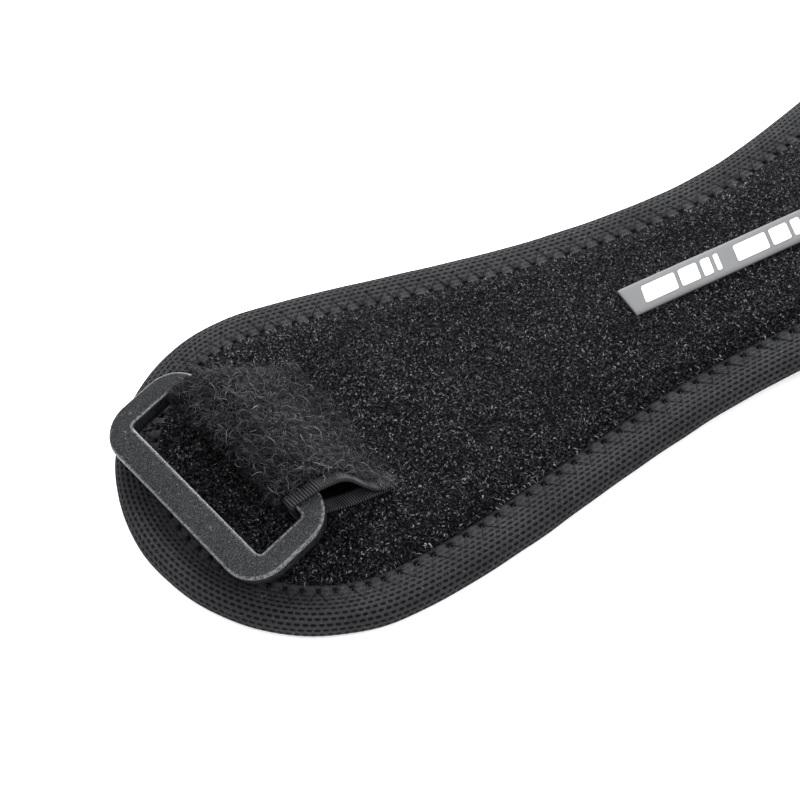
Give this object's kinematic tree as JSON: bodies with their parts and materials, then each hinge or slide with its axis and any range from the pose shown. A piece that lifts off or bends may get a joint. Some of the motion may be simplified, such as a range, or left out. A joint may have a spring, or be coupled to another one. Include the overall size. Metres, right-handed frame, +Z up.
{
  "type": "patella strap",
  "caption": "Foam knee strap with a bound edge, lying face up, with a rectangular ring held in a tape loop at its round end and a hook patch on its narrow tail.",
  "frame": {"origin": "middle of the strap's footprint, on the surface that it lies on", "axes": "+X along the strap from the ring end to the tail, +Z up out of the face, +Y across it"},
  "size_m": [0.4, 0.074, 0.016],
  "materials": {
    "panel": "black brushed loop pile on foam",
    "edge_binding": "black knitted mesh tape with zigzag stitching",
    "buckle": "fine-grained dark grey moulded plastic",
    "loop_tab": "long fuzzy loop pile on ribbed tape",
    "label_strip": "smooth grey woven strip with light printed bars",
    "hook_patch": "black moulded hook tape"
  },
  "bodies": {
    "root": {"panel": "panel", "edge_binding": "edge_binding", "buckle": "buckle", "loop_tab": "loop_tab", "label_strip": "label_strip", "hook_patch": "hook_patch"}
  },
  "joints": []
}
